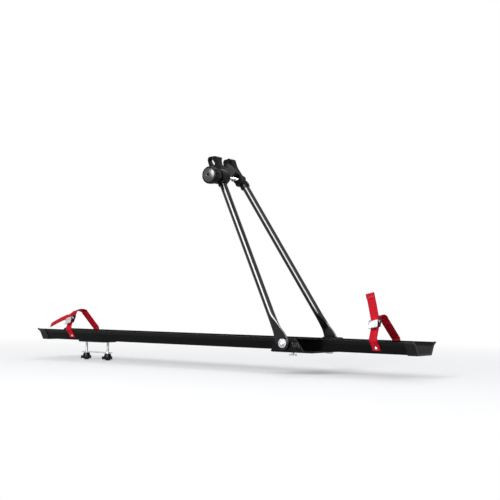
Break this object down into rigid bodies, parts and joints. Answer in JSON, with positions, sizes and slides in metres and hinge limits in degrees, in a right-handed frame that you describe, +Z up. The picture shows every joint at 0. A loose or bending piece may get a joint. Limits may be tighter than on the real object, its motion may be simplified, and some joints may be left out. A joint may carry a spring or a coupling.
{
  "type": "upright bike carrier",
  "caption": "Upright roof-bar bike carrier: black channel tray, two folding arms with a knob-operated frame clamp, red cam-buckle wheel straps and a sliding rear bar clamp.",
  "frame": {"origin": "centre of the front bar seat, on the underside of its rubber pad", "axes": "+X along the tray towards the vehicle's front, +Y to the far side away from the clamp knob, +Z up"},
  "size_m": [1.3552, 0.2702, 0.6116],
  "materials": {
    "tray_steel": "gloss",
    "bracket_steel": "satin",
    "arm_steel": "gloss",
    "jaw_plastic": "satin",
    "cap_plastic": "satin",
    "knob_grey": "satin",
    "rubber": "matte",
    "zinc": "satin",
    "lever_metal": "satin",
    "red_webbing": "matte"
  },
  "bodies": {
    "base": {"tray": "tray_steel", "end_cap_front": "cap_plastic", "end_cap_rear": "cap_plastic", "base_bracket": "bracket_steel", "base_pad": "rubber", "base_rivets": "zinc", "bar_t_bolts": "zinc", "bar_bolt_washers": "zinc", "bar_bolt_nuts": "zinc", "pivot_washers": "zinc", "pivot_spacers": "cap_plastic", "pivot_nuts": "zinc", "pivot_bolt_near": "zinc", "pivot_bolt_far": "zinc", "front_strap_pull": "red_webbing", "front_strap_loop": "red_webbing", "front_strap_rivet_near": "zinc", "front_strap_rivet_far": "zinc", "front_buckle_frame": "bracket_steel", "front_buckle_pin": "zinc", "rear_strap_pull": "red_webbing", "rear_strap_loop": "red_webbing", "rear_strap_rivet_near": "zinc", "rear_strap_rivet_far": "zinc", "rear_buckle_frame": "bracket_steel", "rear_buckle_pin": "zinc"},
    "far_arm": {"arm_far": "arm_steel", "jaw_far": "jaw_plastic", "grip_pad_far": "rubber", "jaw_rivet_far": "bracket_steel", "clamp_rod": "zinc", "clamp_rod_nut": "zinc"},
    "near_arm": {"arm_near": "arm_steel", "jaw_near": "jaw_plastic", "grip_pad_near": "rubber", "jaw_rivet_near": "bracket_steel"},
    "washer": {"thrust_washer": "zinc"},
    "knob": {"clamp_knob": "jaw_plastic", "knob_insert": "zinc", "knob_cap": "knob_grey"},
    "rear_clamp": {"saddle_plate": "zinc", "rear_bolts": "zinc", "rear_pad": "rubber"},
    "bar_plate": {"clamp_plate": "zinc", "rear_washers": "zinc"},
    "rear_knob_back_body": {"rear_knob_back": "jaw_plastic", "rear_insert_back": "zinc"},
    "rear_knob_front_body": {"rear_knob_front": "jaw_plastic", "rear_insert_front": "zinc"},
    "front_lever": {"front_cam_lever": "lever_metal"},
    "rear_lever": {"rear_cam_lever": "lever_metal"}
  },
  "joints": [
    {"name": "arm_fold", "type": "hinge", "parent": "base", "child": "far_arm", "pos_m": [-0.01, 0.1247, 0.0268], "axis": [0, 1, 0], "range_deg": [-54, 35]},
    {"name": "near_arm_open", "type": "hinge", "parent": "far_arm", "child": "near_arm", "pos_m": [-0.01, -0.1247, 0.0268], "axis": [0.8607, 0, 0.509], "range_deg": [-0.17, 1.82]},
    {"name": "washer_travel", "type": "slide", "parent": "far_arm", "child": "washer", "axis": [0, -1, 0], "range_m": [-0.0016, 0.0172]},
    {"name": "knob_spin", "type": "hinge", "parent": "washer", "child": "knob", "pos_m": [-0.28539, -0.0687, 0.49246], "axis": [0, -1, 0], "range_deg": [-430, 4890]},
    {"name": "rear_clamp_slide", "type": "slide", "parent": "base", "child": "rear_clamp", "axis": [1, 0, 0], "range_m": [-0.075, 0.075]},
    {"name": "clamp_plate_drop", "type": "slide", "parent": "rear_clamp", "child": "bar_plate", "axis": [0, 0, -1], "range_m": [-0.008, 0.008]},
    {"name": "rear_knob_back_spin", "type": "hinge", "parent": "bar_plate", "child": "rear_knob_back_body", "pos_m": [-0.853, 0, -0.0357], "axis": [0, 0, -1], "range_deg": [-2310, 2310]},
    {"name": "rear_knob_front_spin", "type": "hinge", "parent": "bar_plate", "child": "rear_knob_front_body", "pos_m": [-0.761, 0, -0.0357], "axis": [0, 0, -1], "range_deg": [-2310, 2310]},
    {"name": "front_lever_open", "type": "hinge", "parent": "base", "child": "front_lever", "pos_m": [0.21518, -0.0362, 0.08703], "axis": [-0.9744, 0, -0.225], "range_deg": [0, 55], "stiffness_Nm_per_rad": 0.02},
    {"name": "rear_lever_open", "type": "hinge", "parent": "base", "child": "rear_lever", "pos_m": [-0.88214, -0.04975, 0.0721], "axis": [-0.9659, 0, -0.2588], "range_deg": [0, 55], "stiffness_Nm_per_rad": 0.02}
  ],
  "couplings": [
    {"joint": "near_arm_open", "follows": "knob_spin", "ratio": 0.00036773},
    {"joint": "washer_travel", "follows": "knob_spin", "m_per_rad": 0.00019894},
    {"joint": "rear_knob_back_spin", "follows": "clamp_plate_drop", "rad_per_m": 5026.5},
    {"joint": "rear_knob_front_spin", "follows": "clamp_plate_drop", "rad_per_m": 5026.5}
  ]
}
